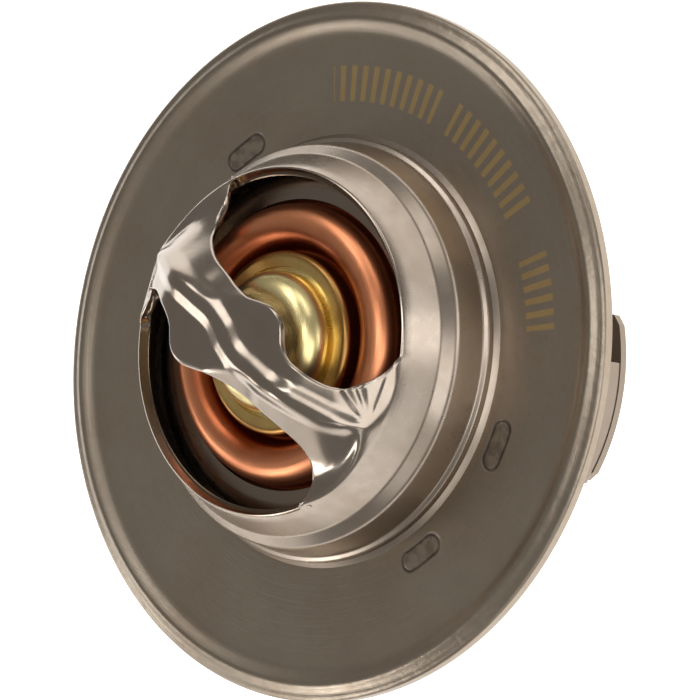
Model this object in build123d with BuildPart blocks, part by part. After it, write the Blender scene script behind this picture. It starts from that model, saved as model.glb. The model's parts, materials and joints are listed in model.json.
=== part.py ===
from build123d import *
import os
from math import atan2, cos, degrees, hypot, radians, sin, tan

# Engine thermostat: a flanged insert that holds a wax element and a sprung plate valve.
# Origin: centre of the flange's underside. +Z points up through the bridge, +X along its strap.
# Every size is in millimetres, every angle in degrees.

# The main pressing: flange, dome and bridge strap in one sheet
sheet = 1.0
flange_radius = 33.5
lip_width = 0.7
lip_rise = 0.15
bead_crest_inset = 1.6
bead_foot_inset = 3.1
bead_height = 0.55

# The dome's profile, each radius set in from the one below it and each height set up from it
dome_foot_radius = 20.3
foot_band_height = 2.1
step_inset = 0.5
step_rise = 0.25
shoulder_inset = 0.5
shoulder_rise = 3.15
upper_wall_inset = 1.1
upper_wall_rise = 1.1
brow_inset = 2.6
brow_rise = 6.05
crown_inset = 7.0
crown_rise = 4.5
step_bend = 0.25
shoulder_bend = 1.1
brow_bend = 4.0
crown_bend = 6.0
foot_bend = 0.45

step_radius = dome_foot_radius - step_inset
step_height = foot_band_height + step_rise
shoulder_radius = step_radius - shoulder_inset
shoulder_height = step_height + shoulder_rise
upper_wall_radius = shoulder_radius - upper_wall_inset
upper_wall_height = shoulder_height + upper_wall_rise
brow_radius = upper_wall_radius - brow_inset
brow_height = upper_wall_height + brow_rise
crown_corner_radius = brow_radius - crown_inset
crown_height = brow_height + crown_rise

# The pressed flank that falls away beside the strap's ridge, at stations along the strap:
# distance from the axis, ridge offset, ridge drop below the crown, fall across and fall along
flank_stations = (
    (0.0, -0.4, -0.5, 5.5, 0.05),
    (6.0, -0.9, 0.0, 14.0, 0.2),
    (12.0, -0.2, 2.3, 35.0, 0.6),
    (18.0, 2.2, 6.3, 12.0, 0.9),
)
flank_width = 5.0
flank_wing = 12.0
flank_wing_rise = 0.6
flank_overlap = 6.0
press_headroom = 26.0

# The flat facet pressed into the other flank at each foot, by three of its points:
# distance along the strap, distance across it and drop below the crown
facet_points = ((12.4, 3.4, 2.5), (14.35, 8.2, 6.65), (16.2, 3.1, 6.4))
facet_size = 30.0

# The two windows beside the strap
window_inset = 1.6
window_corner = 1.0
strap_foot_angle = 29.6
strap_edge = ((12.9, 4.2), (9.4, 3.1), (4.2, 5.3), (-2.4, 3.9), (-8.8, 3.6), (-12.5, 4.8))
window_radius = upper_wall_radius - window_inset

# The seat ring inside the dome
ring_sheet = 0.8
ring_clearance = 0.2
ring_flange_width = 6.8
ring_bend = 1.2
ring_recess = 0.1
seat_rise = 0.3
seat_width = 3.1
ring_skirt_radius = upper_wall_radius - sheet - ring_clearance
ring_flange_radius = ring_skirt_radius + ring_flange_width
seat_height = upper_wall_height + seat_rise
seat_radius = ring_skirt_radius - seat_width

# The stirrup below the flange
frame_sheet = 0.8
frame_depth = 19.0
frame_width = 16.0
frame_corner = 2.2
frame_angle = 30.0
leg_start_angle = -25.0
leg_end_angle = 10.5
leg_foot_width = 3.9
leg_foot_margin = 0.2
frame_bend = 1.3
collar_clearance = 0.4
collar_height = 1.6
leg_foot_radius = ring_flange_radius - leg_foot_margin
frame_radius = leg_foot_radius - leg_foot_width

# The wax element, hung by its collar on the valve plate
cup_radius = 6.6
cup_wall = 0.8
cup_below_frame = 6.5
cup_bottom_bend = 2.4
collar_width = 2.2
collar_drop = 10.65
collar_floor = 0.7
collar_wall = 0.7
crimp_thickness = 0.6
crimp_gap = 0.5
guide_flange_thickness = 0.8
guide_boss_radius = 6.8
guide_boss_height = 3.4
guide_boss_bend = 2.4
guide_spigot_length = 5.0
piston_radius = 2.0
piston_clearance = 0.05
piston_chamfer = 0.7
piston_gap = 1.4
boot_wall = 1.35
boot_neck = 1.2
boot_flange_thickness = 0.6
boot_floor = 1.6
washer_thickness = 0.6
wax_depth = 12.2
cup_bottom = -frame_depth - cup_below_frame
collar_radius = cup_radius + collar_width
collar_seat_height = crown_height - collar_drop
collar_top = collar_seat_height + collar_floor + boot_flange_thickness + guide_flange_thickness
crimp_radius = guide_boss_radius + crimp_gap
guide_top_height = collar_top + guide_boss_height
guide_spigot_radius = cup_radius - cup_wall - boot_neck
bore_radius = piston_radius + piston_clearance
boot_radius = bore_radius + boot_wall
boot_end = cup_bottom + cup_wall + wax_depth
piston_end = boot_end + boot_floor + piston_gap

# The plate valve and its spring
plate_sheet = 0.8
plate_root_gap = 0.55
plate_root_wall = 0.2
plate_crown_flat = 0.1
plate_throat_gap = 0.45
plate_lip_reach = 1.5
plate_lip_gap = 0.35
plate_bend = 0.5
cup_clearance = 0.05
spring_wire = 1.9
spring_gap = 1.15
spring_spread = 3.7
spring_turns = 5.5
plate_root_radius = collar_radius + plate_root_gap
plate_throat_radius = seat_radius - plate_throat_gap
plate_roll = (plate_throat_radius - plate_root_radius - plate_crown_flat) / 2
plate_crest_height = collar_seat_height + plate_bend + plate_root_wall + plate_roll
plate_rim_radius = seat_radius + plate_lip_reach
plate_lip_height = seat_height - ring_sheet - plate_lip_gap
spring_top_radius = cup_radius + spring_gap + spring_wire / 2
spring_bottom_radius = spring_top_radius + spring_spread


def flank_press(depth):
    """The form that presses one flank of the strap down, set lower by depth along its face."""
    with BuildPart() as press:
        for along, ridge, drop, fall_across, fall_along in flank_stations:
            slope = tan(radians(fall_across))
            ridge_height = crown_height - drop - depth * hypot(1, slope, fall_along)
            valley = (ridge - flank_width, ridge_height - flank_width * slope)
            near_top = (ridge + flank_overlap, ridge_height + flank_overlap * slope)
            far_top = (valley[0] - flank_wing, valley[1] + flank_wing_rise)
            ceiling = crown_height + press_headroom
            with BuildSketch(Plane((along, 0, 0), x_dir=(0, 1, 0), z_dir=(1, 0, 0))):
                with BuildLine():
                    Polyline(far_top, valley, near_top, (near_top[0], ceiling), (far_top[0], ceiling), close=True)
                make_face()
        loft()
    return press.part


def facet_press(depth):
    """The flat form that presses the facet at one foot of the strap, set lower by depth."""
    corners = [Vector(along, across, crown_height - drop) for along, across, drop in facet_points]
    normal = (corners[2] - corners[0]).cross(corners[1] - corners[0]).normalized()
    with BuildPart() as press:
        with BuildSketch(Plane(corners[0] - normal * depth, z_dir=normal)):
            Rectangle(facet_size, facet_size)
        extrude(amount=facet_size)
    return press.part


def dome_mass(inset, floor):
    """The dome as a solid hill from floor up, set in by inset all over, with both feet pressed."""
    presses = (flank_press(inset), facet_press(inset))
    with BuildPart() as mass:
        with BuildSketch(Plane.YZ):
            with BuildLine():
                FilletPolyline(
                    (dome_foot_radius, floor),
                    (dome_foot_radius, foot_band_height),
                    (step_radius, step_height),
                    (shoulder_radius, shoulder_height),
                    (upper_wall_radius, upper_wall_height),
                    (brow_radius, brow_height),
                    (crown_corner_radius, crown_height),
                    (0, crown_height),
                    radius=(step_bend, step_bend, shoulder_bend, shoulder_bend, brow_bend, crown_bend),
                )
                Line((0, crown_height), (0, floor))
                Line((0, floor), (dome_foot_radius, floor))
            make_face()
            if inset > 0:
                mirror(about=Plane.YZ)
                offset(amount=-inset)
                split(bisect_by=Plane.YZ)
        revolve(axis=Axis.Z)
        for press in presses:
            add(press, mode=Mode.SUBTRACT)
            add(press.rotate(Axis.Z, 180), mode=Mode.SUBTRACT)
    return mass.part


# One sheet: dome and strap between the outer and inner hills, then the flange with its rim bead
with BuildPart() as flange_bridge:
    add(dome_mass(0, 0))
    add(dome_mass(sheet, -3 * sheet), mode=Mode.SUBTRACT)
    with BuildSketch(Plane.XZ):
        with BuildLine():
            flange_root = (dome_foot_radius - sheet / 2, 0)
            Polyline(flange_root, (flange_radius, 0), (flange_radius, sheet + lip_rise))
            bead = Spline(
                (flange_radius - lip_width, sheet + lip_rise),
                (flange_radius - bead_crest_inset, sheet + bead_height),
                (flange_radius - bead_foot_inset, sheet),
                tangents=((-1, 0.3), (-1, 0)),
            )
            Line((flange_radius, sheet + lip_rise), bead @ 0)
            flat = Line(bead @ 1, (dome_foot_radius + foot_bend, sheet))
            foot = TangentArc(flat @ 1, (dome_foot_radius, sheet + foot_bend), tangent=(-1, 0))
            Polyline(foot @ 1, (flange_root[0], sheet + foot_bend), flange_root)
        make_face()
    revolve(axis=Axis.Z)
    with BuildSketch(Plane.XY):
        Circle(ring_flange_radius + ring_clearance)
    extrude(amount=ring_recess, mode=Mode.SUBTRACT)
    window_plane = Plane.XY.offset(seat_height + sheet)
    with BuildSketch(window_plane, window_plane.rotated((0, 0, 180))):
        with BuildLine():
            foot_x = window_radius * cos(radians(strap_foot_angle))
            foot_y = window_radius * sin(radians(strap_foot_angle))
            edge = Spline((foot_x, foot_y), *strap_edge, (-foot_x, foot_y))
            ThreePointArc(edge @ 0, (0, window_radius), edge @ 1)
        make_face()
        fillet(vertices(), radius=window_corner)
    extrude(amount=crown_height, mode=Mode.SUBTRACT)
flange_bridge.part.label = "flange_bridge"

# Drawn ring that carries the valve seat, its flange flat in the recess under the main flange
with BuildPart() as seat_ring:
    with BuildSketch(Plane.XZ):
        with BuildLine():
            FilletPolyline(
                (seat_radius, seat_height),
                (ring_skirt_radius, seat_height),
                (ring_skirt_radius, ring_recess),
                (ring_flange_radius, ring_recess),
                radius=(ring_bend + ring_sheet, ring_bend),
            )
            offset(amount=ring_sheet, side=Side.RIGHT)
        make_face()
    revolve(axis=Axis.Z)
seat_ring.part.label = "seat_ring"

# Stirrup: two curved legs, each bent from one foot under the ring's flange to the web below
frame_top = ring_recess - ring_sheet
web_plane = Plane.XY.offset(-frame_depth).rotated((0, 0, frame_angle))
with BuildPart() as lower_frame:
    with BuildSketch(web_plane):
        with BuildSketch(mode=Mode.PRIVATE) as web_blank:
            Rectangle(2 * frame_radius, frame_width)
            chamfer(vertices(), length=frame_corner)
        Circle(frame_radius)
        add(web_blank.sketch, mode=Mode.INTERSECT)
        Circle(cup_radius + collar_clearance, mode=Mode.SUBTRACT)
    extrude(amount=frame_sheet)
    with BuildSketch(web_plane):
        Circle(cup_radius + collar_clearance + frame_sheet)
        Circle(cup_radius + collar_clearance, mode=Mode.SUBTRACT)
    extrude(amount=collar_height)
    for half_turn in (0, 180):
        leg_start = frame_angle + leg_start_angle + half_turn
        with BuildSketch(Plane.XZ.rotated((0, 0, leg_start))):
            with BuildLine():
                FilletPolyline(
                    (frame_radius - 3 * frame_bend, -frame_depth),
                    (frame_radius, -frame_depth),
                    (frame_radius, frame_top - frame_sheet),
                    (leg_foot_radius, frame_top - frame_sheet),
                    radius=(frame_bend, frame_bend),
                )
                offset(amount=frame_sheet, side=Side.LEFT)
            make_face()
        revolve(axis=Axis.Z, revolution_arc=leg_end_angle - leg_start_angle)
lower_frame.part.label = "lower_frame"

# Wax cup: a drawn cup whose collar is crimped over the boot and the guide
with BuildPart() as wax_cup:
    with BuildSketch(Plane.XZ):
        with BuildLine():
            cup_outer = FilletPolyline(
                (0, cup_bottom),
                (cup_radius, cup_bottom),
                (cup_radius, collar_seat_height),
                (collar_radius, collar_seat_height),
                (collar_radius, collar_top + crimp_thickness),
                (crimp_radius, collar_top + crimp_thickness),
                radius=(cup_bottom_bend, 0, 0, crimp_thickness),
            )
            Polyline(
                cup_outer @ 1,
                (crimp_radius, collar_top),
                (collar_radius - collar_wall, collar_top),
                (collar_radius - collar_wall, collar_seat_height + collar_floor),
                (cup_radius - cup_wall, collar_seat_height + collar_floor),
                (cup_radius - cup_wall, cup_bottom + cup_wall),
                (0, cup_bottom + cup_wall),
                (0, cup_bottom),
            )
        make_face()
    revolve(axis=Axis.Z)
wax_cup.part.label = "wax_cup"

# Rubber boot round the piston, its flange clamped between the collar and the guide
boot_top = collar_seat_height + collar_floor + boot_flange_thickness
spigot_end = boot_top - guide_spigot_length
with BuildPart() as rubber_boot:
    with BuildSketch(Plane.XZ):
        with BuildLine():
            Polyline(
                (0, boot_end),
                (boot_radius, boot_end),
                (boot_radius, spigot_end - washer_thickness - boot_floor),
                (cup_radius - cup_wall, spigot_end - washer_thickness - boot_floor),
                (cup_radius - cup_wall, boot_top - boot_flange_thickness),
                (collar_radius - collar_wall, boot_top - boot_flange_thickness),
                (collar_radius - collar_wall, boot_top),
                (guide_spigot_radius, boot_top),
                (guide_spigot_radius, spigot_end - washer_thickness),
                (bore_radius, spigot_end - washer_thickness),
                (bore_radius, boot_end + boot_floor),
                (0, boot_end + boot_floor),
                close=True,
            )
        make_face()
    revolve(axis=Axis.Z)
rubber_boot.part.label = "rubber_boot"

# Backup washer that keeps the boot out of the guide's bore
with BuildPart() as backup_washer:
    with BuildSketch(Plane.XY.offset(spigot_end - washer_thickness)):
        Circle(guide_spigot_radius)
        Circle(bore_radius, mode=Mode.SUBTRACT)
    extrude(amount=washer_thickness)
backup_washer.part.label = "backup_washer"

# Brass guide: flange under the crimp, round boss above and spigot below, bored for the piston
with BuildPart() as piston_guide:
    with BuildSketch(Plane.XZ):
        with BuildLine():
            FilletPolyline(
                (bore_radius, guide_top_height),
                (guide_boss_radius, guide_top_height),
                (guide_boss_radius, collar_top),
                (collar_radius - collar_wall, collar_top),
                (collar_radius - collar_wall, boot_top),
                (guide_spigot_radius, boot_top),
                (guide_spigot_radius, spigot_end),
                (bore_radius, spigot_end),
                radius=(guide_boss_bend, 0, 0, 0, 0, 0),
            )
            Line((bore_radius, spigot_end), (bore_radius, guide_top_height))
        make_face()
    revolve(axis=Axis.Z)
piston_guide.part.label = "piston_guide"

# Wax charge: fills the cup round the boot
with BuildPart() as wax_charge:
    with BuildSketch(Plane.XZ):
        with BuildLine():
            wax_top = spigot_end - washer_thickness - boot_floor
            Polyline(
                (0, cup_bottom + cup_wall),
                (cup_radius - cup_wall, cup_bottom + cup_wall),
                (cup_radius - cup_wall, wax_top),
                (boot_radius, wax_top),
                (boot_radius, boot_end),
                (0, boot_end),
                close=True,
            )
        make_face()
    revolve(axis=Axis.Z)
wax_charge.part.label = "wax_charge"

# Piston: stands against the underside of the bridge and reaches down into the boot
with BuildPart() as piston:
    with BuildSketch(Plane.XY.offset(piston_end)):
        Circle(piston_radius)
    extrude(amount=crown_height - sheet - piston_end)
    chamfer(edges().filter_by(GeomType.CIRCLE), length=piston_chamfer)
piston.part.label = "piston"

# Valve plate: a rolled ring that stands up through the seat, its rim just under the seat
with BuildPart() as valve_plate:
    with BuildSketch(Plane.XZ):
        with BuildLine():
            under_bend = plate_bend + plate_sheet
            under_roll = plate_roll - plate_sheet
            plate_top = FilletPolyline(
                (cup_radius + cup_clearance, collar_seat_height),
                (plate_root_radius, collar_seat_height),
                (plate_root_radius, plate_crest_height),
                (plate_throat_radius, plate_crest_height),
                (plate_throat_radius, plate_lip_height),
                (plate_rim_radius, plate_lip_height),
                radius=(plate_bend, plate_roll, plate_roll, plate_bend),
            )
            plate_under = FilletPolyline(
                (cup_radius + cup_clearance, collar_seat_height - plate_sheet),
                (plate_root_radius + plate_sheet, collar_seat_height - plate_sheet),
                (plate_root_radius + plate_sheet, plate_crest_height - plate_sheet),
                (plate_throat_radius - plate_sheet, plate_crest_height - plate_sheet),
                (plate_throat_radius - plate_sheet, plate_lip_height - plate_sheet),
                (plate_rim_radius, plate_lip_height - plate_sheet),
                radius=(under_bend, under_roll, under_roll, under_bend),
            )
            Line(plate_top @ 0, plate_under @ 0)
            Line(plate_top @ 1, plate_under @ 1)
        make_face()
    revolve(axis=Axis.Z)
valve_plate.part.label = "valve_plate"

# Main spring: conical coil between the valve plate and the web, ground flat at both ends
spring_floor = frame_sheet - frame_depth
spring_top = collar_seat_height - plate_sheet
spring_rise = spring_top - spring_floor
with BuildPart() as main_spring:
    with BuildLine():
        coil = Helix(
            pitch=spring_rise / spring_turns,
            height=spring_rise,
            radius=spring_bottom_radius,
            center=(0, 0, spring_floor),
            cone_angle=-degrees(atan2(spring_bottom_radius - spring_top_radius, spring_rise)),
        )
    with BuildSketch(Plane(coil @ 0, z_dir=coil % 0)):
        Circle(spring_wire / 2)
    sweep(is_frenet=True)
    split(bisect_by=Plane.XY.offset(spring_floor))
    split(bisect_by=Plane.XY.offset(spring_top), keep=Keep.BOTTOM)
main_spring.part.label = "main_spring"

os.makedirs("parts", exist_ok=True)
pieces = (
    flange_bridge,
    seat_ring,
    lower_frame,
    valve_plate,
    piston_guide,
    wax_cup,
    wax_charge,
    rubber_boot,
    backup_washer,
    piston,
    main_spring,
)
for piece in pieces:
    export_step(piece.part, f"parts/{piece.part.label}.step")
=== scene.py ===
"""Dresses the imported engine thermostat: its finishes, the pressed cover, the coil and a plain studio."""
import bpy
import json
from math import atan2, cos, hypot, pi, radians, sin, tan
from mathutils import Matrix, Vector
from mathutils.geometry import intersect_point_line
from mathutils.kdtree import KDTree


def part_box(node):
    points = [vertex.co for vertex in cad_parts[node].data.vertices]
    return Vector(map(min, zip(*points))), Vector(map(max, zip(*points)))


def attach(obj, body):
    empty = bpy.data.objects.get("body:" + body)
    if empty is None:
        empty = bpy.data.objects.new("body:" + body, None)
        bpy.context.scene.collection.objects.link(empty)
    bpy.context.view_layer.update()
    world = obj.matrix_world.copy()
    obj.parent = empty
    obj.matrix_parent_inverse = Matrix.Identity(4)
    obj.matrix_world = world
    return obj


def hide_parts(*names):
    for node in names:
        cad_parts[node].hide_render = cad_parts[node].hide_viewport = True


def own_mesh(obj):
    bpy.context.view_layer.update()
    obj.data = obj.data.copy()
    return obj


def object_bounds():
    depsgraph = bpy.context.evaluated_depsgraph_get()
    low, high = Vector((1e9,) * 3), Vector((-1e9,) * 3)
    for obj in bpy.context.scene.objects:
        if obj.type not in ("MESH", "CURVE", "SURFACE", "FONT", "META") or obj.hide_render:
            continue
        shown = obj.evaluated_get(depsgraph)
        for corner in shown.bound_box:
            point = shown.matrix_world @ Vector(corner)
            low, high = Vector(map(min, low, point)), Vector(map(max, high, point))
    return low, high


bl_info = {
    "name": "Engine thermostat",
    "version": (1, 0, 0),
    "blender": (4, 5, 0),
    "location": "3D View > Sidebar > Thermostat",
    "description": "Finishes, cover, coil and studio for the packed engine thermostat",
    "category": "Object",
}

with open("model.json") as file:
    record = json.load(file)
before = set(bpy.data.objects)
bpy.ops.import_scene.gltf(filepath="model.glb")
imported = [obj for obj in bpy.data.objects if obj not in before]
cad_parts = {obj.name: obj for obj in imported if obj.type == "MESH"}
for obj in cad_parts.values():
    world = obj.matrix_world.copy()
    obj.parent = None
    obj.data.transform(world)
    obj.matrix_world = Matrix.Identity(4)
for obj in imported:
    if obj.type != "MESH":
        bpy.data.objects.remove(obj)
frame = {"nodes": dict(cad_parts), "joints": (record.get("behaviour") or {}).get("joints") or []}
CAD_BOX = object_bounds()
MM = 0.001


# ---------------------------------------------------------------- settings

def length(name, description, default):
    return bpy.props.FloatProperty(
        name=name, description=description, default=default, unit="LENGTH", precision=5)


def tint(name, description, default):
    return bpy.props.FloatVectorProperty(
        name=name, description=description, default=default, subtype="COLOR", min=0.0, max=1.0)


def share(name, description, default):
    return bpy.props.FloatProperty(
        name=name, description=description, default=default, subtype="FACTOR", min=0.0, max=1.0)


def turn(name, description, default):
    return bpy.props.FloatProperty(
        name=name, description=description, default=radians(default), subtype="ANGLE")


class SteelSettings(bpy.types.PropertyGroup):
    flange_tint: tint("Flange", "Colour of the dull, handled flange", (0.36, 0.30, 0.235))
    dome_tint: tint("Dome", "Colour of the bright drawn dome and strap", (0.42, 0.355, 0.295))
    film_tint: tint("Film", "Colour of the brown film left in patches", (0.30, 0.225, 0.16))
    plain_tint: tint("Ring and stirrup", "Colour of the seat ring and the stirrup", (0.29, 0.24, 0.195))
    etch_tint: tint("Etched bars", "Colour of the burnt tick bars on the flange", (0.60, 0.42, 0.18))
    flange_roughness: share("Flange roughness", "Roughness of the satin flange", 0.40)
    dome_roughness: share("Dome roughness", "Roughness of the drawn dome and strap", 0.20)
    sheet: length("Sheet", "Thickness of the cover's sheet", 0.001)
    rim_radius: length("Window rim", "Radius of the windows' outer rim", 0.0166)
    rib_rise: length("Rib rise", "Height of the rib that runs along the strap", 0.0005)
    dome_foot: length("Dome foot", "Radius at which the flange turns up into the dome", 0.0206)
    mark_radius: length("Stamp radius", "Distance of the obround stamps from the axis", 0.0229)
    mark_length: length("Stamp length", "Length of one obround stamp", 0.0052)
    mark_width: length("Stamp width", "Width of one obround stamp", 0.0023)
    bar_inner: length("Bar start", "Inner end of the tick bars from the axis", 0.0239)
    bar_outer: length("Bar end", "Outer end of the tick bars from the axis", 0.0273)


class ValveSettings(bpy.types.PropertyGroup):
    copper_tint: tint("Copper", "Colour of the rolled valve plate", (0.84, 0.33, 0.16))
    # Colour of the random tarnish and of the painted shade in the roll's hollows
    copper_tarnish_and_shade: tint("Tarnish", "Colour of the tarnished copper", (0.40, 0.085, 0.025))
    brass_tint: tint("Brass", "Colour of the turned guide", (0.88, 0.73, 0.36))
    crimp_tint: tint("Crimp", "Colour of the golden cup and its crimp", (0.76, 0.52, 0.19))
    # Outside this radius the crimp, between the guide and the copper, is darkened as painted shade
    crimp_shade_radius: length("Bright crimp", "Radius inside which the crimp is free of tarnish", 0.0082)
    # Inside this radius the roll is darkened as painted shade
    copper_shade_radius: length("Bright copper", "Radius outside which the roll is free of tarnish", 0.0117)
    copper_roughness: share("Copper roughness", "Roughness of the valve plate", 0.35)
    brass_roughness: share("Brass roughness", "Roughness of the guide", 0.29)


class StudioSettings(bpy.types.PropertyGroup):
    tilt: turn("Tilt", "Angle of the view away from the valve's axis", 41.15)
    bearing: turn("Bearing", "Side that the view comes from, round the axis", 32.5)
    roll: turn("Roll", "Turn of the picture about the view", 8.24)
    distance: length("Distance", "Distance of the camera from the flange", 1.0)
    picture: length("Picture", "Width of the view at the flange", 0.06658)
    shift_right: length("Shift right", "Place of the axis right of the picture's middle", -0.00163)
    shift_up: length("Shift up", "Place of the axis above the picture's middle", -0.00006)
    floor_size: length("Floor", "Side of the square floor", 3.0)
    floor_glow: share("Floor glow", "How white the floor shows behind the object and in its metal", 1.0)
    sky: share("Sky", "Strength of the even light from all round", 0.25)


# ---------------------------------------------------------------- shader maths

class Value:
    """One number in a material, so that the maths of a finish reads as an expression."""

    def __init__(self, finish, socket):
        self.finish = finish
        self.socket = socket

    def reckon(self, operation, *others):
        node = self.finish.node("ShaderNodeMath", {"operation": operation}, {
            place: value for place, value in enumerate((self, *others))})
        return Value(self.finish, node.outputs[0])

    def __add__(self, other):
        return self.reckon("ADD", other)

    __radd__ = __add__

    def __sub__(self, other):
        return self.reckon("SUBTRACT", other)

    def __rsub__(self, other):
        return (self * -1) + other

    def __mul__(self, other):
        return self.reckon("MULTIPLY", other)

    __rmul__ = __mul__

    def __truediv__(self, other):
        return self.reckon("DIVIDE", other)

    def __mod__(self, other):
        return self.reckon("FLOORED_MODULO", other)

    def __abs__(self):
        return self.reckon("ABSOLUTE")

    def step(self, low, high):
        """0 below low, 1 above high and a smooth rise between; falls instead where low is above high."""
        rises = low < high
        node = self.finish.node("ShaderNodeMapRange", {"interpolation_type": "SMOOTHSTEP"}, {
            "Value": self, "From Min": min(low, high), "From Max": max(low, high),
            "To Min": 0.0 if rises else 1.0, "To Max": 1.0 if rises else 0.0})
        return Value(self.finish, node.outputs[0])

    def within(self, low, high, edge):
        """1 between low and high, 0 outside, with a soft edge."""
        return self.step(low - edge, low + edge) * self.step(high + edge, high - edge)


class Finish:
    """A material under construction: one shader, and the nodes that vary it over the surface."""

    def __init__(self, name, colour, roughness, metallic=1.0):
        self.material = bpy.data.materials.new(name)
        self.material.use_nodes = True
        self.nodes = self.material.node_tree.nodes
        self.links = self.material.node_tree.links
        self.shader = self.nodes["Principled BSDF"]
        self.shader.inputs["Base Color"].default_value = (*colour, 1.0)
        self.shader.inputs["Roughness"].default_value = roughness
        self.shader.inputs["Metallic"].default_value = metallic
        coordinates = self.node("ShaderNodeTexCoord")
        self.place = coordinates.outputs["Object"]
        split = self.node("ShaderNodeSeparateXYZ", inputs={0: self.place})
        self.x, self.y, self.z = (Value(self, split.outputs[axis]) for axis in range(3))
        self.radius = (self.x * self.x + self.y * self.y).reckon("SQRT")

    def node(self, kind, settings=None, inputs=None):
        made = self.nodes.new(kind)
        for name, value in (settings or {}).items():
            setattr(made, name, value)
        for name, value in (inputs or {}).items():
            self.put(made.inputs[name], value)
        return made

    def put(self, socket, value):
        if isinstance(value, Value):
            value = value.socket
        if isinstance(value, bpy.types.NodeSocket):
            self.links.new(value, socket)
        elif socket.type == "RGBA":
            socket.default_value = (*value[:3], 1.0)
        else:
            socket.default_value = value

    def angle(self):
        """Degrees round the valve's axis, from +X."""
        return self.y.reckon("ARCTAN2", self.x) * (180 / pi)

    def point(self, x, y, z):
        return self.node("ShaderNodeCombineXYZ", inputs={0: x, 1: y, 2: z}).outputs[0]

    def noise(self, at, scale, detail=3.0, roughness=0.55):
        made = self.node("ShaderNodeTexNoise", {"noise_dimensions": "3D"}, {
            "Vector": at, "Scale": scale, "Detail": detail, "Roughness": roughness})
        return Value(self, made.outputs[0])

    def patches(self, scale, detail=3.0):
        return self.noise(self.place, scale, detail)

    def round_axis(self, across, stretch):
        """A place for grain that runs round the axis, fine in one direction only."""
        return self.point(across, self.x / self.radius * stretch, self.y / self.radius * stretch)

    def turned(self, fineness, stretch=3.0):
        """Grain that runs round the axis, as turning, spinning and polishing leave it."""
        return self.noise(self.round_axis(self.radius * fineness, stretch), 1.0, 4.0, 0.6)

    def drawn(self, fineness, stretch=4.0):
        """Rings at even height on a wall, as a drawing die leaves them."""
        return self.noise(self.round_axis(self.z * fineness, stretch), 1.0, 3.0, 0.55)

    def tint(self, amount, low, high):
        """Colour that goes from low to high with amount."""
        made = self.node("ShaderNodeMix", {"data_type": "RGBA"}, {0: amount, 6: low, 7: high})
        return made.outputs[2]

    def wear(self, colour=None, roughness=None, height=None, depth=0.00002):
        """Links what varies over the surface to the shader."""
        if colour is not None:
            self.put(self.shader.inputs["Base Color"], colour)
        if roughness is not None:
            self.put(self.shader.inputs["Roughness"], roughness)
        if height is not None:
            bump = self.node("ShaderNodeBump", inputs={"Strength": 1.0, "Distance": depth, "Height": height})
            self.put(self.shader.inputs["Normal"], bump.outputs[0])
        return self.material


# ---------------------------------------------------------------- finishes

# Bearings of the flange's plain marks in degrees from +X: the middle of each stamp, which has a twin
# half a turn on, and the first and last bearing of each group of tick bars
STAMPS = (15.7, 162.0)
BAR_GROUPS = ((103.0, 133.0), (69.0, 98.0), (43.0, 59.0))
BAR_PITCH = 3.0
STAMP_GROOVE = 0.0003
SOFT_EDGE = 0.00012
# The flange's face lies between these heights, and its speckled outer zone starts at this radius
FACE_LOW, FACE_HIGH = 0.0009, 0.0012
OUTER_ZONE = 0.0312
# Colour of the painted shade in the stamps' sunk grooves and floors
STAMP_SHADE = (0.10, 0.085, 0.07)


def flange_marks(finish, steel):
    """Masks of the plain obround stamps and of the burnt tick bars on the flange's face."""
    bearing = finish.angle()
    on_face = finish.z.step(FACE_LOW - 0.0001, FACE_LOW) * finish.z.step(FACE_HIGH + 0.0002, FACE_HIGH)
    half_turn = (bearing + 360) % 180
    straight = (steel.mark_length - steel.mark_width) / 2
    off_middle = None
    for middle in STAMPS:
        along = abs(half_turn - middle) * radians(1) * steel.mark_radius
        across = abs(finish.radius - steel.mark_radius)
        past_end = (along - straight).reckon("MAXIMUM", 0.0)
        reach = (past_end * past_end + across * across).reckon("SQRT")
        off_middle = reach if off_middle is None else off_middle.reckon("MINIMUM", reach)
    edge = steel.mark_width / 2
    outline = off_middle.within(edge - STAMP_GROOVE, edge, SOFT_EDGE) * on_face
    floor = off_middle.step(edge, edge - STAMP_GROOVE) * on_face
    band = finish.radius.within(steel.bar_inner, steel.bar_outer, SOFT_EDGE) * on_face
    groups = sum(bearing.within(first, last, 0.2) for first, last in BAR_GROUPS)
    ticks = abs((bearing % BAR_PITCH) - BAR_PITCH / 2).step(0.85, 0.55)
    return outline, floor, band * groups * ticks


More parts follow.
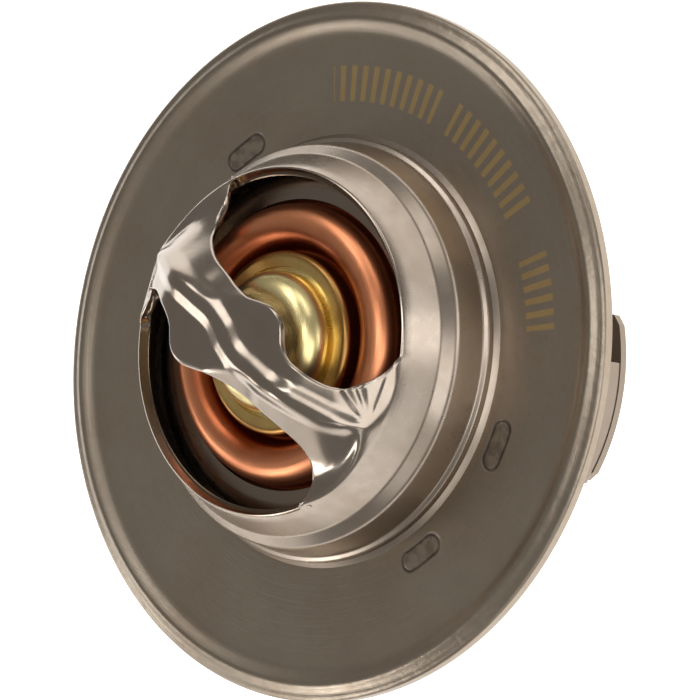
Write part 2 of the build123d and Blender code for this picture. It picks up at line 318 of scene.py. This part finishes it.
def cover_finish(steel):
    """Stainless sheet: bright where it is drawn into the dome and strap, dull on the flange."""
    finish = Finish("cover_steel", steel.dome_tint, steel.dome_roughness)
    outline, floor, bars = flange_marks(finish, steel)
    on_flange = finish.radius.step(steel.dome_foot - 0.0002, steel.dome_foot + 0.0004)
    on_dome = 1 - on_flange
    on_wall = finish.radius.step(steel.rim_radius - 0.0002, steel.rim_radius + 0.0004) * on_dome
    outer = finish.radius.step(OUTER_ZONE, OUTER_ZONE + 0.001)
    broad = finish.patches(70.0, 4.0)
    handled = finish.patches(220.0, 4.0)
    fine = finish.patches(900.0, 5.0)
    grain = finish.turned(5200.0)
    rings = finish.drawn(3800.0)

    film = broad.step(0.42, 0.66) * 0.45 + fine.step(0.45, 0.75) * 0.35
    flange = finish.tint(film, steel.flange_tint, steel.film_tint)
    flange = finish.tint(grain.step(0.5, 0.8) * 0.35, flange, steel.dome_tint)
    flange = finish.tint(bars * 0.85, flange, steel.etch_tint)
    # Painted shade: the stamps' grooves are darkened, and their floors in a mottle
    flange = finish.tint(outline * 0.8 + floor * fine.step(0.4, 0.6) * 0.45, flange, STAMP_SHADE)
    film = broad.step(0.4, 0.7) * 0.3 + handled.step(0.42, 0.68) * 0.24
    dome = finish.tint(film, steel.dome_tint, steel.film_tint)
    colour = finish.tint(on_flange, dome, flange)

    dull = on_flange * (steel.flange_roughness - steel.dome_roughness) + on_wall * 0.09 - outer * 0.06
    uneven = (fine - 0.5) * 0.12 + (broad - 0.5) * 0.08 + (handled - 0.5) * 0.09
    pits = fine * on_flange * (0.35 + outer * 1.2)
    marks = floor * 1.6 + outline * 1.2 + bars * 0.3
    height = grain * on_flange * 0.55 + rings * on_dome * 0.10 + pits - marks
    return finish.wear(colour, dull + uneven + steel.dome_roughness, height, 0.00003)


def plain_steel_finish(name, steel, roughness):
    """Satin sheet steel with faint film and forming rings."""
    finish = Finish(name, steel.plain_tint, roughness)
    fine = finish.patches(800.0, 5.0)
    broad = finish.patches(90.0, 3.0)
    film = broad.step(0.4, 0.7) * 0.5 + fine.step(0.5, 0.8) * 0.3
    colour = finish.tint(film, steel.plain_tint, steel.film_tint)
    return finish.wear(colour, (fine - 0.5) * 0.2 + (broad - 0.5) * 0.15 + roughness,
                       finish.drawn(3000.0) * 0.5 + fine * 0.4, 0.00002)


def copper_finish(valve):
    """Bare copper: bright along the roll, darkened towards the hollows by painted shade and some random
    tarnish, with fine turned lines.
    """
    finish = Finish("copper_plate", valve.copper_tint, valve.copper_roughness)
    grain = finish.turned(4200.0, 2.0)
    broad = finish.patches(120.0, 3.0)
    low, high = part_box("valve_plate")
    # Painted shade: the copper darkens below the plate's top and inside the shade radius, on top of random
    # tarnish
    depth = finish.z.step(high.z - 0.0002, high.z - 0.0022)
    inner = finish.radius.step(valve.copper_shade_radius, valve.copper_shade_radius - 0.0014)
    tarnish_and_shade = inner * 0.75 + depth * 0.5 + broad.step(0.5, 0.7) * 0.25 + grain.step(0.55, 0.8) * 0.25
    colour = finish.tint(tarnish_and_shade, valve.copper_tint, valve.copper_tarnish_and_shade)
    return finish.wear(colour, (grain - 0.5) * 0.18 + valve.copper_roughness, grain, 0.000018)


def brass_finish(name, tint, dark, roughness, fineness, bright=0.05):
    """Turned or drawn brass with fine rings and a little random tarnish, darkened outside the bright radius
    by painted shade.
    """
    finish = Finish(name, tint, roughness)
    grain = finish.turned(fineness, 2.0)
    broad = finish.patches(150.0, 3.0)
    # Painted shade: darker outside the bright radius, where the crimp lies between the guide and the copper
    shade_outside = finish.radius.step(bright - 0.0002, bright + 0.0002)
    colour = finish.tint(broad.step(0.45, 0.75) * 0.4 + grain.step(0.5, 0.8) * 0.3, tint, dark)
    colour = finish.tint(shade_outside * 0.8, colour, dark)
    return finish.wear(colour, (grain - 0.5) * 0.16 + roughness, grain + finish.drawn(3500.0) * 0.5, 0.000015)


def wire_finish(roughness=0.34):
    """Dark drawn spring wire."""
    finish = Finish("spring_wire", (0.34, 0.33, 0.32), roughness)
    fine = finish.patches(1500.0, 4.0)
    colour = finish.tint(fine.step(0.4, 0.7), (0.40, 0.385, 0.37), (0.24, 0.225, 0.21))
    return finish.wear(colour, (fine - 0.5) * 0.2 + roughness, fine, 0.000015)


def dull_finish(name, tint, dark, roughness, scale, metallic=0.0):
    """A quiet moulded, cast or ground surface with a fine mottle."""
    finish = Finish(name, tint, roughness, metallic)
    fine = finish.patches(scale, 4.0)
    colour = finish.tint(fine.step(0.35, 0.7), tint, dark)
    return finish.wear(colour, (fine - 0.5) * 0.15 + roughness, fine, 0.00002)


def dress(node, material):
    """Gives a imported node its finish."""
    slots = frame["nodes"][node].data.materials
    slots.clear()
    slots.append(material)


# ---------------------------------------------------------------- the cover's shape

# Half of the strap's outline in millimetres, from the window's rim to the axis:
# the far edge and the near edge, in matching steps
FAR_EDGE = (
    (13.80, 9.22), (13.93, 8.6), (13.95, 7.7), (13.78, 6.6), (13.38, 5.4), (12.85, 4.3), (11.9, 3.55),
    (10.6, 3.2), (9.2, 3.12), (7.6, 3.2), (6.2, 3.75), (4.6, 5.2), (2.6, 5.55), (0.0, 4.5))
NEAR_EDGE = (
    (13.80, -9.22), (13.92, -8.6), (13.88, -7.7), (13.5, -6.5), (13.0, -5.5), (12.5, -4.8), (11.6, -4.15),
    (10.5, -3.8), (8.8, -3.6), (7.3, -3.55), (5.3, -3.6), (3.4, -3.75), (1.6, -4.1), (0.0, -4.5))
# Along the strap from the axis: the rib's middle and its half width
RIB = (
    (0.0, 0.0, 1.3), (2.3, -0.55, 1.1), (5.0, -0.4, 1.15), (7.0, -0.2, 1.15), (9.0, 0.1, 1.1),
    (11.4, 0.5, 1.1), (13.2, 0.85, 1.05), (14.6, 1.35, 0.8), (15.8, 2.1, 0.35), (16.6, 2.4, 0.2),
    (20.0, 2.6, 0.2))
# How far the rib's side reaches past its half width, and the side's whole width
RIB_REACH, RIB_SIDE = 0.7, 1.5
# The rib and the creases fade out over this width inside this radius
RELIEF_RADIUS, RELIEF_FADE = 16.7, 2.0
# The pressed flank beside the rib: along, ridge's place across, its height and the slope across
FLANK = (
    (0.0, -4.4, 17.2, 0.7), (0.8, -3.6, 17.15, 0.72), (3.0, -2.1, 17.15, 0.75), (5.1, -1.15, 17.1, 0.75),
    (7.0, -1.1, 16.9, 0.8), (9.0, -1.0, 16.3, 0.85), (11.4, -0.55, 15.2, 0.78), (13.2, -0.2, 14.1, 0.66),
    (14.6, 0.5, 13.0, 0.5), (15.8, 1.5, 11.9, 0.36), (18.0, 2.2, 10.85, 0.213), (24.0, 4.0, 8.0, 0.1))
# The flank's width down to its valley, the slope up again past it, the valley's bend,
# how steeply the flank leaves the strap's other half and the bend at the ridge
FLANK_WIDTH, WING_SLOPE, VALLEY_BEND, CROSS_RISE, RIDGE_BEND = 5.0, 0.05, 1.6, 0.3, 0.5
# Creases that fan out from each foot's apex, and the fold round the foot, each as a line of points,
# then where along the strap they start, their share of the rib's rise and their half width
FAN = (
    ((16.16, 2.2), (12.95, 4.09)),
    ((16.16, 2.2), (13.6, 4.8)),
    ((16.16, 2.2), (14.52, 6.86)),
    ((16.16, 2.2), (16.3, 3.4), (16.2, 4.8), (15.6, 6.6), (14.45, 8.1)))
FAN_START, FAN_RISE, FAN_HALF = 12.0, 0.55, 0.42
# The flat facet at each foot, by three of its points, where it starts and its bend into the dome
FACET = ((12.4, 3.4, 14.65), (14.35, 8.2, 10.5), (16.2, 3.1, 10.75))
FACET_START, FACET_BEND = 8.0, 0.3
# The dome's profile, from the flange's foot to the axis: radius, height and bend of each corner
DOME = (
    (20.75, 1.0, 0.0), (20.3, 1.45, 0.0), (20.3, 2.1, 0.25), (19.8, 2.35, 0.25), (19.3, 5.5, 1.1),
    (18.2, 6.6, 1.1), (15.6, 12.65, 4.0), (8.6, 17.15, 6.0), (0.0, 17.15, 0.0))
BEND_STEPS = 7
# The flange's face and its rolled bead, from the rim inwards
FLANGE = (
    (33.5, 0.72), (33.46, 0.84), (33.36, 0.95), (33.2, 1.04), (33.0, 1.1), (32.8, 1.14), (32.6, 1.22),
    (32.4, 1.33), (32.2, 1.45), (32.05, 1.52), (31.9, 1.55), (31.72, 1.54), (31.5, 1.48), (31.2, 1.34),
    (30.9, 1.19), (30.65, 1.09), (30.4, 1.03), (30.1, 1.0), (28.5, 1.0), (26.5, 1.0), (24.5, 1.0),
    (22.6, 1.0), (21.4, 1.0))
# How the cover's mesh is divided: steps round the axis, and along and across the strap
TURN_STEPS, STRAP_ROWS, STRAP_COLUMNS = 384, 156, 72
# Inside this radius the cover takes its height from the pressing
PRESSED_RADIUS = 18.8


def eased(rows, place):
    """The smooth values at place in a table whose first column rises, each through its column's rows."""
    last = len(rows) - 2
    at = next((i for i in range(last + 1) if place <= rows[i + 1][0]), last)
    low, high = rows[at], rows[at + 1]
    before, after = rows[max(at - 1, 0)], rows[min(at + 2, last + 1)]
    span = high[0] - low[0]
    t = min(max((place - low[0]) / span, 0.0), 1.0)
    found = []
    for column in range(1, len(low)):
        rise_low = (high[column] - before[column]) / (high[0] - before[0])
        rise_high = (after[column] - low[column]) / (after[0] - low[0])
        found.append(
            low[column] * (2 * t - 3) * t * t + low[column] + high[column] * (3 - 2 * t) * t * t
            + span * rise_low * t * (1 - t) ** 2 - span * rise_high * t * t * (1 - t))
    return found


def rounded(corners, steps):
    """The corners' polyline with each bend drawn as an arc of so many steps."""
    points = [Vector(corners[0][:2])]
    for before, corner, after in zip(corners, corners[1:], corners[2:]):
        middle = Vector(corner[:2])
        back = (Vector(before[:2]) - middle).normalized()
        on = (Vector(after[:2]) - middle).normalized()
        half = back.angle(on) / 2
        if corner[2] == 0:
            points.append(middle)
            continue
        reach = corner[2] / tan(half)
        centre = middle + (back + on).normalized() * corner[2] / sin(half)
        start, end = middle + back * reach - centre, middle + on * reach - centre
        sweep = start.angle_signed(end)
        for step in range(steps + 1):
            points.append(centre + Matrix.Rotation(-sweep * step / steps, 2) @ start)
    points.append(Vector(corners[-1][:2]))
    return points


def lower_of(first, second, blend):
    """The lower of two heights, rounded over where they cross."""
    near = max(blend - abs(first - second), 0.0) / blend
    return min(first, second) - near * near * blend / 4


def smooth(part):
    """A share from 0 to 1 with a gentle start and end."""
    part = min(max(part, 0.0), 1.0)
    return part * part * (3 - 2 * part)


def profile_height(profile, radius):
    """Height of the dome's unpressed profile at a radius."""
    for outer, inner in zip(profile, profile[1:]):
        if inner.x <= radius <= outer.x and outer.x > inner.x:
            return outer.y + (inner.y - outer.y) * (outer.x - radius) / (outer.x - inner.x)
    return profile[-1].y


def from_line(place, line):
    """Distance from a place to a line of points, in plan."""
    found = []
    for start, end in zip(line, line[1:]):
        near, part = intersect_point_line(place, start, end)
        nearest = start if part < 0 else end if part > 1 else near.xy
        found.append((place - Vector(nearest)).length)
    return min(found)


def pressed_height(profile, x, y, rib_rise):
    """Height of the cover's face in plan: the dome, both pressed flanks, both facets and the rib."""
    radius = hypot(x, y)
    height = profile_height(profile, radius)
    corner, second, third = (Vector(point) for point in FACET)
    normal = (third - corner).cross(second - corner)
    fade = smooth((RELIEF_RADIUS - radius) / RELIEF_FADE)
    proud = 0.0
    for side in (1, -1):
        along, across = x * side, y * side
        ridge, top, slope = eased(FLANK, max(along, 0.0))
        fall = (across - ridge) * slope
        wing = (ridge - FLANK_WIDTH - across) * WING_SLOPE - FLANK_WIDTH * slope
        flank = top - lower_of(-fall, -wing, VALLEY_BEND) + max(-along, 0.0) * CROSS_RISE
        height = lower_of(height, flank, RIDGE_BEND)
        facet = corner.z - ((along - corner.x) * normal.x + (across - corner.y) * normal.y) / normal.z
        if along > FACET_START:
            height = lower_of(height, facet, FACET_BEND)
        if along >= 0:
            middle, half = eased(RIB, along)
            proud = smooth((half + RIB_REACH - abs(across - middle)) / RIB_SIDE)
            for line in FAN if along > FAN_START else ():
                off_line = from_line(Vector((along, across)), line)
                proud = max(proud, FAN_RISE * smooth(1.0 - off_line / FAN_HALF))
    return height - rib_rise * (1 - proud) * fade


def extruded_profile(context, points):
    """Draws a profile from one vertex, extruded from point to point in the XZ plane."""
    bpy.ops.mesh.primitive_plane_add(size=MM)
    drawn = context.object
    bpy.ops.object.mode_set(mode="EDIT")
    bpy.ops.mesh.select_all(action="SELECT")
    bpy.ops.mesh.merge(type="CENTER")
    bpy.ops.transform.translate(value=(points[0][0] * MM, 0, points[0][1] * MM))
    for here, there in zip(points, points[1:]):
        step = ((there[0] - here[0]) * MM, 0, (there[1] - here[1]) * MM)
        bpy.ops.mesh.extrude_vertices_move(TRANSFORM_OT_translate={"value": step})
    return drawn


# ---------------------------------------------------------------- operators

class THERMOSTAT_OT_cover(bpy.types.Operator):
    """Press the cover from one sheet: flange, dome and the twisted bridge strap with its rib"""
    bl_idname = "thermostat.cover"
    bl_label = "Cover"

    def execute(self, context):
        steel = context.scene.thermostat_steel
        dome = rounded(DOME, BEND_STEPS)
        rim = steel.rim_radius / MM
        wall = [(point.x, point.y) for point in dome if point.x >= rim]
        last = wall[-1][0]
        inwards = [rim + (last - rim) * part for part in (0.66, 0.33)]
        inwards += [rim + step for step in (0.11, 0.06, 0.03, 0.0)]
        wall += [(radius, profile_height(dome, radius)) for radius in inwards]
        ring = extruded_profile(context, list(FLANGE) + wall)
        bpy.ops.mesh.select_all(action="SELECT")
        bpy.ops.mesh.spin(steps=TURN_STEPS, angle=2 * pi, center=(0, 0, 0), axis=(0, 0, 1))
        bpy.ops.mesh.select_all(action="SELECT")
        bpy.ops.mesh.remove_doubles(threshold=2e-6)
        bpy.ops.object.mode_set(mode="OBJECT")
        strap = self.strap(context, steel)
        hold(context, ring, strap)
        bpy.ops.object.join()
        cover = context.object
        cover.name = "cover"
        for vertex in cover.data.vertices:
            x, y = vertex.co.x / MM, vertex.co.y / MM
            if hypot(x, y) < PRESSED_RADIUS:
                vertex.co.z = pressed_height(dome, x, y, steel.rib_rise / MM) * MM
        bpy.ops.object.mode_set(mode="EDIT")
        bpy.ops.mesh.select_all(action="SELECT")
        bpy.ops.mesh.remove_doubles(threshold=1e-5)
        bpy.ops.mesh.normals_make_consistent(inside=False)
        bpy.ops.object.mode_set(mode="OBJECT")
        top = max(cover.data.polygons, key=lambda face: face.center.z)
        if top.normal.z < 0:
            cover.data.flip_normals()
        self.roll_edges(cover)
        self.thicken(context, cover, steel)
        bpy.ops.object.shade_smooth_by_angle(angle=radians(40))
        cover.data.materials.clear()
        cover.data.materials.append(cover_finish(steel))
        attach(cover, "housing")
        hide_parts("flange_bridge")
        return {"FINISHED"}

    def strap(self, context, steel):
        """The strap as one grid from window rim to window rim, laid out in plan."""
        bpy.ops.mesh.primitive_grid_add(x_subdivisions=STRAP_ROWS, y_subdivisions=STRAP_COLUMNS, size=2)
        strap = context.object
        half_rows, half_columns = STRAP_ROWS / 2, STRAP_COLUMNS / 2
        marks = len(FAR_EDGE) - 1
        far = [(place, *point) for place, point in enumerate(FAR_EDGE)]
        near = [(place, *point) for place, point in enumerate(NEAR_EDGE)]
        sector = atan2(FAR_EDGE[0][1], FAR_EDGE[0][0])
        rim = steel.rim_radius / MM
        for vertex in strap.data.vertices:
            side = -1 if vertex.co.x < 0 else 1
            mark = marks * (1 - round(abs(vertex.co.x) * half_rows) / half_rows)
            turned = round(vertex.co.y * half_columns) / half_columns * side * sector
            across = (sin(turned) / sin(sector) + 1) / 2
            start, end = eased(near, mark), eased(far, mark)
            bulge = rim * (cos(turned) - cos(sector)) * max(1 - mark / 4, 0) ** 2
            x = start[0] + (end[0] - start[0]) * across + bulge
            y = start[1] + (end[1] - start[1]) * across
            if mark == 0:
                x, y = rim * cos(turned), rim * sin(turned)
            vertex.co = (x * side * MM, y * side * MM, 0)
        return strap

    def roll_edges(self, cover):
        """Turns the face down a little along the sheet's free edges at the windows and the strap, as a worn
        burr does.
        """
        shared = {}
        for face in cover.data.polygons:
            for edge in face.edge_keys:
                shared[edge] = shared.get(edge, 0) + 1
        free = {corner for edge, faces in shared.items() if faces == 1 for corner in edge}
        tree = KDTree(len(free))
        for corner in free:
            tree.insert(cover.data.vertices[corner].co, corner)
        tree.balance()
        reach, drop, windows = 0.0003, 0.00014, 0.018
        moves = []
        for vertex in cover.data.vertices:
            if hypot(vertex.co.x, vertex.co.y) < windows:
                away = tree.find(vertex.co)[2]
                if away < reach:
                    moves.append((vertex, vertex.normal * drop * (1 - away / reach) ** 2))
        for vertex, move in moves:
            vertex.co -= move

    def thicken(self, context, cover, steel):
        """Gives the sheet its thickness and its flange a flat underside."""
        count = len(cover.data.vertices)
        wall = cover.modifiers.new("thickness", "SOLIDIFY")
        wall.thickness = steel.sheet
        wall.offset = -1
        wall.use_even_offset = True
        hold(context, cover)
        bpy.ops.object.modifier_apply(modifier="thickness")
        flange_edge, wall_radius = DOME[0][0] * MM, DOME[1][0] * MM
        foot_inner, foot_top = steel.dome_foot - 0.0004, 0.0022
        wall_inner, wall_top, wall_lag = 0.0186, 0.0056, 0.00012
        vertices = cover.data.vertices
        for outer in range(count):
            face, back = vertices[outer].co, vertices[outer + count].co
            radius = hypot(face.x, face.y)
            if radius > foot_inner and face.z < foot_top:
                inset = steel.sheet * smooth((flange_edge - radius) / (flange_edge - wall_radius))
                drop = face.z if radius >= flange_edge else min(face.z, steel.sheet)
                kept = 1 - inset / radius
                back.x, back.y, back.z = face.x * kept, face.y * kept, face.z - drop
            elif radius > wall_inner and face.z < wall_top:
                kept = 1 - steel.sheet / radius
                back.x, back.y, back.z = face.x * kept, face.y * kept, face.z - wall_lag


class THERMOSTAT_OT_sheet_parts(bpy.types.Operator):
    """Finish the seat ring and the stirrup"""
    bl_idname = "thermostat.sheet_parts"
    bl_label = "Ring and stirrup"

    def execute(self, context):
        steel = context.scene.thermostat_steel
        dress("seat_ring", plain_steel_finish("ring_steel", steel, 0.30))
        dress("lower_frame", plain_steel_finish("frame_steel", steel, 0.36))
        return {"FINISHED"}


class THERMOSTAT_OT_valve(bpy.types.Operator):
    """Finish the valve plate, the wax element and its guide"""
    bl_idname = "thermostat.valve"
    bl_label = "Valve and wax element"

    def execute(self, context):
        valve = context.scene.thermostat_valve
        dress("valve_plate", copper_finish(valve))
        dress("piston_guide", brass_finish(
            "guide_brass", valve.brass_tint, (0.62, 0.44, 0.14), valve.brass_roughness, 5200.0))
        dress("wax_cup", brass_finish(
            "cup_brass", valve.crimp_tint, (0.28, 0.12, 0.03), 0.30, 4600.0, valve.crimp_shade_radius))
        dress("piston", dull_finish("piston_steel", (0.60, 0.60, 0.60), (0.46, 0.45, 0.44), 0.2, 1200.0, 1.0))
        dress("wax_charge", dull_finish("wax", (0.80, 0.74, 0.55), (0.66, 0.58, 0.40), 0.6, 500.0))
        dress("rubber_boot", dull_finish(
            "boot_rubber", (0.035, 0.035, 0.035), (0.06, 0.06, 0.058), 0.7, 900.0))
        dress("backup_washer", dull_finish(
            "washer_plastic", (0.85, 0.85, 0.82), (0.75, 0.74, 0.70), 0.5, 900.0))
        return {"FINISHED"}


# How far a shortened coil would stay below the opened plate, in metres; the coil is not shortened here
SPRING_SLACK = 0.0007


class THERMOSTAT_OT_spring(bpy.types.Operator):
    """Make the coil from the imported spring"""
    bl_idname = "thermostat.spring"
    bl_label = "Main spring"

    def execute(self, context):
        source = frame["nodes"]["main_spring"]
        coil = bpy.data.objects.new("coil", source.data.copy())
        context.scene.collection.objects.link(coil)
        hold(context, coil)
        bpy.ops.object.mode_set(mode="EDIT")
        bpy.ops.mesh.select_all(action="SELECT")
        bpy.ops.mesh.remove_doubles(threshold=1e-6)
        bpy.ops.object.mode_set(mode="OBJECT")
        bpy.ops.object.shade_smooth_by_angle(angle=radians(35))
        coil.data.materials.clear()
        coil.data.materials.append(wire_finish())
        joint = next(j for j in frame["joints"] if j["name"] == "valve_slide")
        low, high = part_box("main_spring")
        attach(coil, "housing")
        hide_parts("main_spring")
        rise = high.z - low.z
        (rise - joint["range_m"][1] - SPRING_SLACK) / rise
        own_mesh(coil)
        return {"FINISHED"}


def hold(context, *objects):
    """Selects only these objects, the first of them active."""
    bpy.ops.object.select_all(action="DESELECT")
    for each in objects:
        each.select_set(True)
    context.view_layer.objects.active = objects[0]


# How far the floor lies below the wax cup, in metres
FLOOR_GAP = 0.00005
# Each lamp: its name, its place right, up and back from the valve in metres, its size and its power
LAMPS = (
    ("front_wide", 0.04, -0.08, 0.80, (0.50, 0.60), 1.7),
    ("front_glint", -0.22, 0.16, 0.55, (0.12, 0.24), 0.35),
    ("front_top", 0.0, 0.50, 0.32, (0.34, 0.20), 0.36),
    ("front_low", -0.08, -0.41, 0.43, (0.30, 0.20), 0.20),
    ("key_right", 0.42, 0.06, 0.24, (0.20, 0.36), 0.5),
    ("ridge_upper", -0.32, 0.46, 0.24, (0.20, 0.34), 0.55),
    ("ridge_lower", -0.49, -0.33, 0.07, (0.10, 0.20), 0.4),
    ("low_left", -0.46, -0.38, -0.08, (0.30, 0.40), 0.35),
    ("far_left", -0.56, -0.14, -0.20, (0.12, 0.26), 0.3),
)


class THERMOSTAT_OT_studio(bpy.types.Operator):
    """Set up the camera, the soft lamps and the white floor"""
    bl_idname = "thermostat.studio"
    bl_label = "Studio"

    def execute(self, context):
        studio = context.scene.thermostat_studio
        right, up, back = view_axes(studio)
        aim = Vector((0, 0, context.scene.thermostat_steel.sheet))
        context.scene.view_settings.view_transform = "Standard"
        place_camera(context, studio, aim)
        ground = min(corner.z for corner in CAD_BOX) - FLOOR_GAP
        make_floor(context, studio, ground)
        world = context.scene.world or bpy.data.worlds.new("studio")
        context.scene.world = world
        world.use_nodes = True
        sky = world.node_tree.nodes["Background"]
        sky.inputs["Color"].default_value = (1.0, 0.98, 0.95, 1.0)
        sky.inputs["Strength"].default_value = studio.sky
        for name, across, rise, near, size, power in LAMPS:
            place = aim + right * across + up * rise + back * near
            soft_box(context, name, place, aim, size, power)
        return {"FINISHED"}


def view_axes(studio):
    """Right, up and backwards of the picture, in the object's frame."""
    outward = Vector((cos(studio.bearing), sin(studio.bearing), 0))
    sideways = Vector((-outward.y, outward.x, 0))
    back = sin(studio.tilt) * outward + cos(studio.tilt) * Vector((0, 0, 1))
    fall = cos(studio.tilt) * outward - sin(studio.tilt) * Vector((0, 0, 1))
    right = cos(studio.roll) * fall + sin(studio.roll) * sideways
    up = cos(studio.roll) * sideways - sin(studio.roll) * fall
    return right, up, back


def place_camera(context, studio, aim):
    right, up, back = view_axes(studio)
    data = bpy.data.cameras.new("camera")
    data.sensor_width = 36
    data.lens = data.sensor_width * studio.distance / studio.picture
    data.clip_start = 0.01
    camera = bpy.data.objects.new("camera", data)
    context.scene.collection.objects.link(camera)
    middle = aim - right * studio.shift_right - up * studio.shift_up
    turned = Matrix((right, up, back)).transposed().to_4x4()
    camera.matrix_world = Matrix.Translation(middle + back * studio.distance) @ turned
    context.scene.camera = camera


def make_floor(context, studio, ground):
    bpy.ops.mesh.primitive_plane_add(size=studio.floor_size, location=(0, 0, ground))
    floor = context.object
    floor.name = "floor"
    finish = Finish("floor_white", (0.9, 0.9, 0.9), 0.8, 0.0)
    light = finish.node("ShaderNodeLightPath")
    plain = finish.shader.outputs[0]
    glow = finish.node("ShaderNodeEmission", inputs={
        "Color": (1.0, 1.0, 1.0), "Strength": studio.floor_glow})
    seen = Value(finish, light.outputs["Is Camera Ray"])
    seen = seen.reckon("MAXIMUM", light.outputs["Is Glossy Ray"])
    seen = seen.reckon("MAXIMUM", light.outputs["Is Transmission Ray"])
    lit = finish.node("ShaderNodeAddShader", inputs={0: plain, 1: glow.outputs[0]})
    both = finish.node("ShaderNodeMixShader", inputs={0: seen, 1: plain, 2: lit.outputs[0]})
    finish.links.new(both.outputs[0], finish.nodes["Material Output"].inputs["Surface"])
    floor.data.materials.append(finish.material)


def soft_box(context, name, place, aim, size, power):
    data = bpy.data.lights.new(name, "AREA")
    data.shape = "RECTANGLE"
    data.size, data.size_y = size
    data.energy = power
    lamp = bpy.data.objects.new(name, data)
    context.scene.collection.objects.link(lamp)
    lamp.location = place
    lamp.rotation_euler = (aim - Vector(place)).to_track_quat("-Z", "Y").to_euler()


OPERATORS = (
    THERMOSTAT_OT_cover,
    THERMOSTAT_OT_sheet_parts,
    THERMOSTAT_OT_valve,
    THERMOSTAT_OT_spring,
    THERMOSTAT_OT_studio,
)
SETTINGS = {
    "thermostat_steel": SteelSettings,
    "thermostat_valve": ValveSettings,
    "thermostat_studio": StudioSettings,
}


class THERMOSTAT_PT_sidebar(bpy.types.Panel):
    """Lists the thermostat's settings and the steps that build it"""
    bl_label = "Engine thermostat"
    bl_space_type = "VIEW_3D"
    bl_region_type = "UI"
    bl_category = "Thermostat"

    def draw(self, context):
        for name in SETTINGS:
            box = self.layout.box()
            group = getattr(context.scene, name)
            for setting in group.bl_rna.properties:
                if setting.identifier not in ("rna_type", "name"):
                    box.prop(group, setting.identifier)
        for operator in OPERATORS:
            self.layout.operator(operator.bl_idname)


def register():
    for name, group in SETTINGS.items():
        bpy.utils.register_class(group)
        setattr(bpy.types.Scene, name, bpy.props.PointerProperty(type=group))
    for operator in OPERATORS:
        bpy.utils.register_class(operator)
    bpy.utils.register_class(THERMOSTAT_PT_sidebar)


def unregister():
    bpy.utils.unregister_class(THERMOSTAT_PT_sidebar)
    for operator in reversed(OPERATORS):
        bpy.utils.unregister_class(operator)
    for name, group in SETTINGS.items():
        delattr(bpy.types.Scene, name)
        bpy.utils.unregister_class(group)


def main():
    register()
    bpy.ops.thermostat.cover()
    bpy.ops.thermostat.sheet_parts()
    bpy.ops.thermostat.valve()
    bpy.ops.thermostat.spring()
    bpy.ops.thermostat.studio()


if __name__ == "__main__":
    main()
